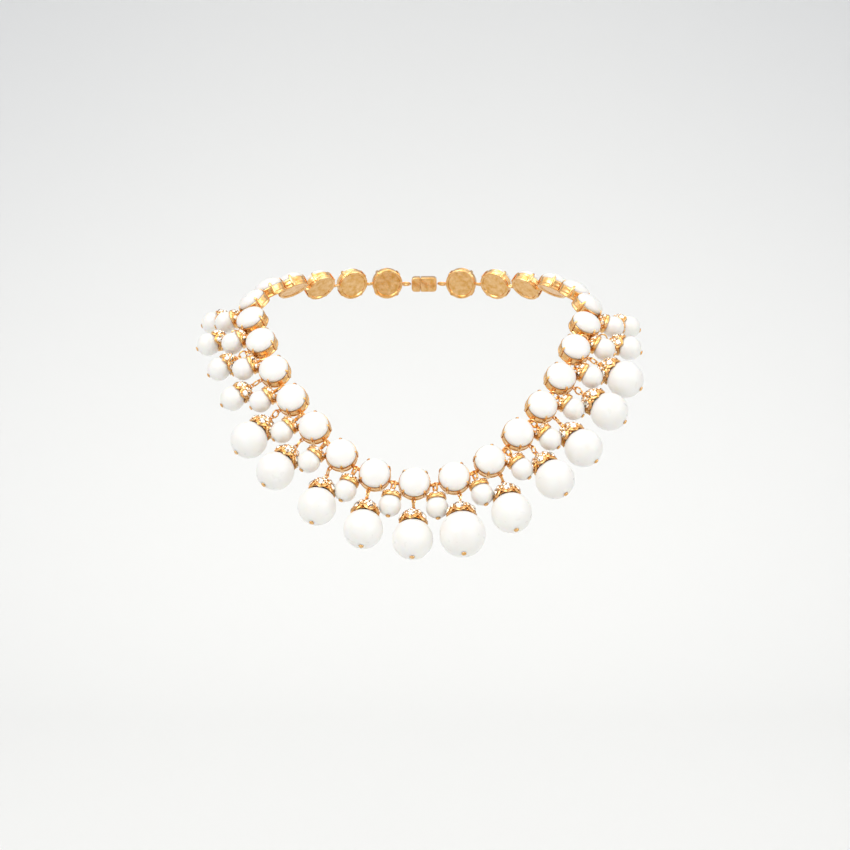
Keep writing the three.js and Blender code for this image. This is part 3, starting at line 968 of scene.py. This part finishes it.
def rounded_block(start, end, half_width, depth, corners, edge):
    """A block along X with a corner radius at each end, and all its edges rounded."""
    corner_points = 5
    rows = [(edge * (1 - math.sin(a)), edge * (1 - math.cos(a))) for a in (0, 0.5, 1.0, math.pi / 2)]
    levels = [(inset, depth / 2 - up) for inset, up in reversed(rows)]
    levels = [(inset, -height) for inset, height in levels[::-1]] + levels
    verts = []
    for inset, height in levels:
        for end_x, side, corner in ((end, 1, corners[1]), (start, -1, corners[0])):
            for half in (-1, 1):
                middle = (end_x - side * corner, side * half * (half_width - corner))
                for i in range(corner_points):
                    turn = math.radians(90 * (half - 1) / 2 + 22.5 * i) + (math.pi if side < 0 else 0)
                    x, y = polar(max(0.04, corner - inset), turn)
                    verts.append((middle[0] + x, middle[1] + y, height))
    return verts, skin(len(levels), 4 * corner_points)


CLASP_PARTS = [
    # the box, the end of the tongue, the tongue between them and the tab
    rounded_block(-5.95, 1.6, 3.45, 3.9, (1.5, 0.45), 0.35),
    rounded_block(1.85, 5.95, 3.45, 3.9, (0.45, 1.5), 0.35),
    rounded_block(1.2, 2.4, 2.6, 2.6, (0.3, 0.3), 0.2),
    moved(rounded_block(-0.9, 0.9, 0.5, 1.2, (0.3, 0.3), 0.2), placed(3.6, 0, 1.9)),
]
CLASP = master("clasp", [moved(part, placed(0, 0, EYE_HEIGHT)) for part in CLASP_PARTS])
print("the clasp has", len(CLASP.data.polygons), "faces")

# %% [markdown]
# ## Setting the pieces out
# Now each master is copied to its frames, and the result stands for the CAD nodes there. The stones of the
# front and sides, the large beads and their crowns have nodes of their own. The soldered runs of the collar
# are shown by several pieces, one for each kind of part: settings, links, small crowns, their crystals and
# small beads, and behind the neck the stones as well.

# %% Stones and large drops
for setting in range(LEFT_END, RIGHT_END + 1):
    set_out("stone_" + number(setting), DOMED_STONE, [collar_frame(setting)], RESIN,
            ["cabochon_" + number(setting)])

for setting, (bead, _) in DROPS.items():
    here, name = [drop_frame(setting)[0]], number(setting)
    set_out("bead_" + name, BEADS[bead], here, RESIN, ["drop_bead_" + name])
    crown, crystals = large_crown(setting, -90 + CROWN_TURN * math.sin(2.4 * setting))
    set_out("crown_" + name, crown, here, GOLD, ["drop_cap_" + name])
    set_out("crown_crystals_" + name, crystals, here, CRYSTAL, ["drop_cap_" + name])
    for made in (crown, crystals):
        bpy.data.objects.remove(made)
print(len(TALLY), "pieces so far,", sum(TALLY.values()), "triangles")

# %% The runs of the collar
RUNS = {
    # side: (first setting, last setting, first link, last link)
    "left": (LEFT_END, -1, LEFT_END, -1),
    "right": (0, RIGHT_END, 0, RIGHT_END),
    "back_left": (CLASP_PLACE + 1 - PLACES, LEFT_END - 1, CLASP_PLACE - PLACES, LEFT_END - 1),
    "back_right": (RIGHT_END + 1, CLASP_PLACE - 1, RIGHT_END + 1, CLASP_PLACE - 1),
}
for side, (first, last, first_link, last_link) in RUNS.items():
    node = ["collar_" + side]
    settings = range(first, last + 1)
    with_drop = [collar_frame(s) for s in settings if s in DROPS]
    without = [collar_frame(s) for s in settings if s not in DROPS]
    if with_drop:
        set_out("settings_" + side, EYED_SETTING, with_drop, GOLD, node)
    set_out("plain_settings_" + side, SETTING, without, GOLD, node)
    if not with_drop:
        set_out("stones_" + side, DOMED_STONE, without, RESIN, node)
    links = [link_frame(place) for place in range(first_link, last_link + 1)]
    stretches = [(half / MEAN_LINK, 1, 1) for _, half in links]
    set_out("links_" + side, LINK, [f for f, _ in links], GOLD, node, stretches, wobble=4)
    hooks = [s for s in settings if s in DROPS and s + 1 in DROPS]
    for kind, (crown, crystals) in SMALL_CROWNS.items():
        small = [small_drop_frame(s) for s in hooks if (s in FRONT_PLACES) == (kind == "front")]
        small = [frame @ placed(0, 0, reach - SMALL_REACHES[kind]) for frame, reach in small]
        if small:
            name = f"{kind}_{side}"
            set_out("small_beads_" + name, SMALL_BEAD_MASTER, small, RESIN, node)
            set_out("small_crowns_" + name, crown, small, GOLD, node)
            set_out("small_crystals_" + name, crystals, small, CRYSTAL, node)
set_out("box_clasp", CLASP, [collar_frame(CLASP_PLACE)], GOLD, ["clasp"])
print(len(TALLY), "pieces,", sum(TALLY.values()), "triangles, at most", max(TALLY.values()), "in one piece")

# %% Remove the masters
for made in [o for o in bpy.data.objects if o.type == "MESH" and "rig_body" not in o]:
    bpy.data.objects.remove(made)

# %% [markdown]
# ## Floor and backdrop
# The floor is a studio's paper sweep: a pale floor that curves up into a wall, with no edge for the eye to
# find. It is one profile carried sideways. Matt seamless paper has a faint tooth and no gloss. Shade is
# painted into the paper's colour: it turns a little greyer towards the top of the wall and its sides, where
# the light would fall off, so the middle stays palest.

# %% The paper sweep
FLOOR = -0.30
SWEEP_START, SWEEP_RADIUS, WALL_TOP = 1.7, 1.2, 4.0
PAPER_HALF, BEND_ROWS = 6.0, 24
profile = [(-PAPER_HALF, FLOOR), (SWEEP_START, FLOOR)]
for i in range(1, BEND_ROWS + 1):
    x, y = polar(SWEEP_RADIUS, math.pi / 2 * i / BEND_ROWS)
    profile.append((SWEEP_START + y, FLOOR + SWEEP_RADIUS - x))
profile.append((SWEEP_START + SWEEP_RADIUS, WALL_TOP))
verts = [(x, y, z) for y, z in profile for x in (-PAPER_HALF, PAPER_HALF)]
faces = [(2 * i, 2 * i + 1, 2 * i + 3, 2 * i + 2) for i in range(len(profile) - 1)]
mesh = bpy.data.meshes.new("paper_sweep")
mesh.from_pydata(verts, [], faces)
mesh.shade_smooth()
sweep = linked("paper_sweep", mesh)
sweep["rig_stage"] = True

# Painted shade: the paper's colour turns greyer with height and towards the sides, where the light would fall
# off.
PAINTED_SHADE_ABOVE, PAINTED_SHADE_BESIDE = (-0.25, 0.9), (0.1, 0.8)  # where the grey begins and is full, in metres
PAPER, tree, shader, where = new_material("Matt seamless paper", {
    "Roughness": 0.9, "Specular IOR Level": 0.1})
place = put(tree, "ShaderNodeSeparateXYZ", {0: where}).outputs
across = put(tree, "ShaderNodeMath", {0: place["X"]}, operation="ABSOLUTE")
above = put(tree, "ShaderNodeMapRange", {0: place["Z"], 1: PAINTED_SHADE_ABOVE[0], 2: PAINTED_SHADE_ABOVE[1]},
            interpolation_type="SMOOTHSTEP")
beside = put(tree, "ShaderNodeMapRange", {
    0: across.outputs[0], 1: PAINTED_SHADE_BESIDE[0], 2: PAINTED_SHADE_BESIDE[1], 4: 0.36}, interpolation_type="SMOOTHSTEP")
share = put(tree, "ShaderNodeMath", {0: above.outputs[0], 1: beside.outputs[0]}, operation="ADD")
# The base colour carries the painted shade, from near white in the middle to grey above and beside.
feed(tree, shader, {
    "Base Color": between(tree, share.outputs[0], "#ececea", "#cfd0d1"),
    "Normal": relief(tree, noise(tree, where, 1.5), 0.05, 0.2)})
mesh.materials.append(PAPER)
print("floor at", FLOOR, "m; the necklace's lowest point is at", round(CAD_BOX[0][2], 3), "m")

# %% [markdown]
# ## Light
# Soft light from three very wide lamps: a key from the upper left, a weaker fill on the right and one from
# above. A sun lamp lights the whole floor alike, and with a width of over 40 degrees it casts shadows as soft
# as a panel's. The surroundings are a pale studio, brighter overhead and darker in front, which gives
# polished metal something dark to reflect. Without that, gold in an all-white room looks like flat yellow.

# %% Lamps and surroundings
def lamp(name, position, strength, width):
    """A far lamp that shines from a direction. Its width is an angle in degrees."""
    light = bpy.data.lights.new(name, "SUN")
    light.energy, light.angle = strength, math.radians(width)
    made = linked(name, light)
    made.location = position
    made.rotation_euler = Vector(position).to_track_quat("Z", "Y").to_euler()


lamp("key", (-0.9, -1.3, 1.3), 1.6, 45)
lamp("fill", (1.6, -1.1, 0.5), 0.84, 41)
lamp("top", (0.1, 0.3, 1.8), 0.6, 42)

world = bpy.data.worlds.new("Studio")
bpy.context.scene.world = world
world.use_nodes = True
tree = world.node_tree
tree.nodes.clear()
where = put(tree, "ShaderNodeTexCoord").outputs["Generated"]
place = put(tree, "ShaderNodeSeparateXYZ", {0: where}).outputs
studio = between(tree, ranged(tree, place["Z"], (-0.1, 0.8)), "#e7e6e4", "#ffffff")
front = ranged(tree, place["Y"], (-0.95, -0.7), 0.6, 1.0)
studio = put(tree, "ShaderNodeMix", {0: 1.0, 6: studio, 7: front}, data_type="RGBA", blend_type="MULTIPLY")
seen = put(tree, "ShaderNodeBackground", {"Color": linear("#eeeeee"), "Strength": 1.0})
lit = put(tree, "ShaderNodeBackground", {"Color": studio.outputs[2], "Strength": 0.5})
mirrored = put(tree, "ShaderNodeBackground", {"Color": studio.outputs[2], "Strength": 1.35})
path = put(tree, "ShaderNodeLightPath").outputs
mixed = put(tree, "ShaderNodeMixShader",
            {0: path["Is Glossy Ray"], 1: lit.outputs[0], 2: mirrored.outputs[0]})
mixed = put(tree, "ShaderNodeMixShader", {0: path["Is Camera Ray"], 1: mixed.outputs[0], 2: seen.outputs[0]})
put(tree, "ShaderNodeOutputWorld", {"Surface": mixed.outputs[0]})
bpy.context.scene.view_settings.view_transform = "Standard"

# %% [markdown]
# ## Camera
# A long lens, level with the middle of the necklace and straight in front of it.

# %% The camera
lens = bpy.data.cameras.new("camera")
lens.sensor_width, lens.lens = 36.0, 144.4
camera = linked("camera", lens)
camera.location = (0.0025, -1.564, -0.020)
camera.rotation_euler = (math.pi / 2, 0, 0)
bpy.context.scene.camera = camera
print("camera", round(camera.location.z - FLOOR, 2), "m above the floor")

# %% [markdown]
# ## Size against the CAD model
# The visual model keeps to the box of the CAD model, within about half a millimetre at each side. The sizes
# of both boxes are printed, so that they can be compared.

# %% Sizes, and the end
SHOWN_BOX = [list(corner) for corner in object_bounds()]
for axis in range(3):
    print("xyz"[axis], [round(1000 * (box[1][axis] - box[0][axis]), 1) for box in (CAD_BOX, SHOWN_BOX)], "mm")
